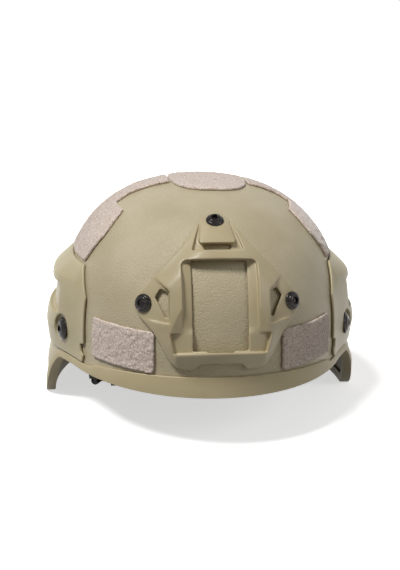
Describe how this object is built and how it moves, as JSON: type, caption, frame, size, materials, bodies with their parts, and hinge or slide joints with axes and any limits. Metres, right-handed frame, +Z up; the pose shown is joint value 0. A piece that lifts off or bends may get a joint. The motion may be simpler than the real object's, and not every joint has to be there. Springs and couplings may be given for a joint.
{
  "type": "combat helmet",
  "caption": "Full-cut combat helmet with a brow mount, side accessory rails, loop patches, foam pads, a rear fit dial and a chin strap that swings on bars under the rail bolts.",
  "frame": {"origin": "middle of the helmet's plan on the table that the ear covers stand on", "axes": "+Z up towards the crown, the wearer faces -Y, and +X is the wearer's left"},
  "size_m": [0.2576, 0.2963, 0.1784],
  "materials": {
    "shell_coat": "khaki paint with a fine pebbled grain over a moulded fibre shell",
    "trim_rubber": "satin khaki rubber",
    "mount_polymer": "satin moulded khaki",
    "rail_polymer": "satin moulded khaki",
    "black_steel": "gloss black",
    "grey_steel": "plain zinc",
    "loop_fabric": "short looped pile",
    "pad_fabric": "brushed black knit over foam",
    "hook_fabric": "stiff hook tape",
    "lining_fabric": "dark brown padded knit",
    "webbing": "woven khaki webbing",
    "black_polymer": "satin moulded black"
  },
  "bodies": {
    "helmet": {"shell": "shell_coat", "edge_trim": "trim_rubber", "brow_mount": "mount_polymer", "mount_bolts": "black_steel", "mount_nuts": "grey_steel", "rail_left": "rail_polymer", "rail_right": "rail_polymer", "rail_bolts": "black_steel", "rail_nuts": "grey_steel", "strap_anchors": "black_steel", "patch_top": "loop_fabric", "patch_side_left": "loop_fabric", "patch_side_right": "loop_fabric", "patch_front_left": "loop_fabric", "patch_front_right": "loop_fabric", "patch_rear": "loop_fabric", "crown_pad": "pad_fabric", "front_pad": "pad_fabric", "rear_pad": "pad_fabric", "pad_front_left": "pad_fabric", "pad_front_right": "pad_fabric", "pad_rear_left": "pad_fabric", "pad_rear_right": "pad_fabric", "pad_discs": "hook_fabric", "dial_housing": "black_polymer", "dial_cover": "black_polymer", "dial_screws": "grey_steel", "fit_strap_left": "webbing", "fit_strap_right": "webbing", "nape_pad": "lining_fabric"},
    "dial": {"dial_knob": "black_polymer"},
    "left_band": {"band_left": "black_polymer"},
    "right_band": {"band_right": "black_polymer"},
    "side_straps_left": {"strap_front_left": "webbing", "strap_rear_left": "webbing", "strap_ring_left": "black_polymer"},
    "chin_left": {"chin_strap_left": "webbing", "buckle_plug": "black_polymer"},
    "slider": {"strap_slider": "black_polymer"},
    "cup": {"chin_cup": "lining_fabric"},
    "side_straps_right": {"strap_front_right": "webbing", "strap_rear_right": "webbing", "strap_ring_right": "black_polymer"},
    "chin_right": {"chin_strap_right": "webbing", "buckle_socket": "black_polymer"}
  },
  "joints": [
    {"name": "dial_turn", "type": "hinge", "parent": "helmet", "child": "dial", "pos_m": [0, 0.1, 0.036], "axis": [0, 1, 0], "range_deg": [-75, 75]},
    {"name": "band_left_slide", "type": "slide", "parent": "helmet", "child": "left_band", "axis": [1, 0, 0], "range_m": [-0.008, 0.008]},
    {"name": "band_right_slide", "type": "slide", "parent": "helmet", "child": "right_band", "axis": [1, 0, 0], "range_m": [-0.008, 0.008]},
    {"name": "side_left_swing", "type": "hinge", "parent": "helmet", "child": "side_straps_left", "pos_m": [0.093, 0.01, 0.051], "axis": [0, 1, 0], "range_deg": [0, 50]},
    {"name": "chin_left_fold", "type": "hinge", "parent": "side_straps_left", "child": "chin_left", "pos_m": [0.088, 0.01, 0.004], "axis": [0, 1, 0], "range_deg": [0, 45]},
    {"name": "slider_slide", "type": "slide", "parent": "chin_left", "child": "slider", "axis": [1, 0, 0], "range_m": [-0.008, 0.004]},
    {"name": "cup_slide", "type": "slide", "parent": "chin_left", "child": "cup", "axis": [1, 0, 0], "range_m": [-0.008, 0.002]},
    {"name": "side_right_swing", "type": "hinge", "parent": "helmet", "child": "side_straps_right", "pos_m": [-0.093, 0.01, 0.051], "axis": [0, 1, 0], "range_deg": [-50, 0]},
    {"name": "chin_right_fold", "type": "hinge", "parent": "side_straps_right", "child": "chin_right", "pos_m": [-0.088, 0.01, 0.004], "axis": [0, 1, 0], "range_deg": [-45, 0]}
  ],
  "couplings": [
    {"joint": "band_left_slide", "follows": "dial_turn", "m_per_rad": -0.006},
    {"joint": "band_right_slide", "follows": "dial_turn", "m_per_rad": 0.006}
  ]
}
